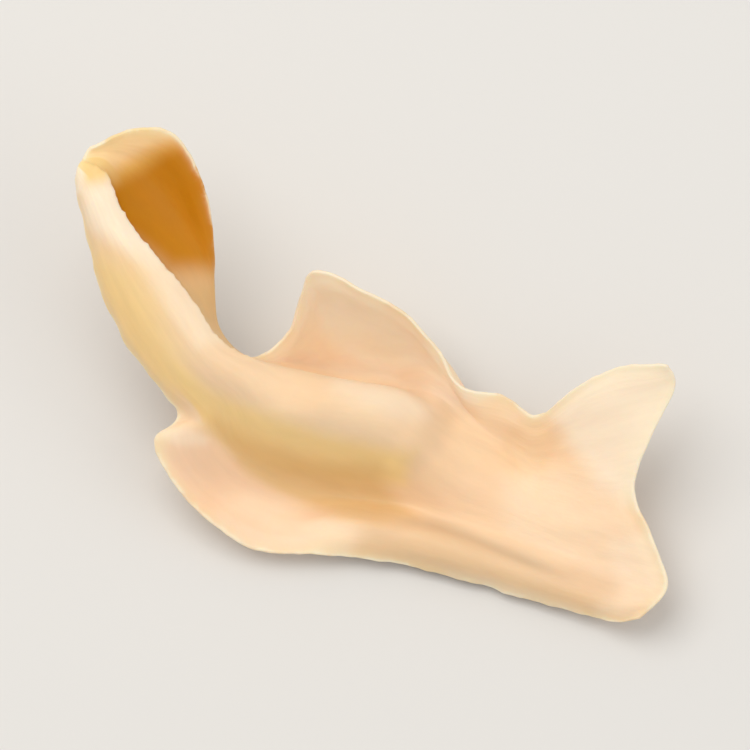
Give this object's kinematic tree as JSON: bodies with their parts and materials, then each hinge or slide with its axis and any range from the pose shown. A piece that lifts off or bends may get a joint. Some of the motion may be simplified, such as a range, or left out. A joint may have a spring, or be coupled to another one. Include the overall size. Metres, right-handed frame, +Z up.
{
  "type": "dried lily bulb scale",
  "caption": "Dried scale of a lily bulb: a thin, waved, boat-shaped leaf of bulb flesh with a curled horn at the tip, a fold down its middle and a torn, winged base.",
  "frame": {"origin": "on the table under the middle of the scale's bounding box, as it lies on its belly", "axes": "+X along the scale from the curled horn at its tip to the torn base, +Y across it towards the back flap, +Z up out of its hollow side"},
  "size_m": [0.0488, 0.0378, 0.0193],
  "materials": {
    "dried_flesh": "dull, faintly waxy and translucent, pale cream with a warmer golden hollow side"
  },
  "bodies": {
    "root": {"lily_scale": "dried_flesh"}
  },
  "joints": []
}
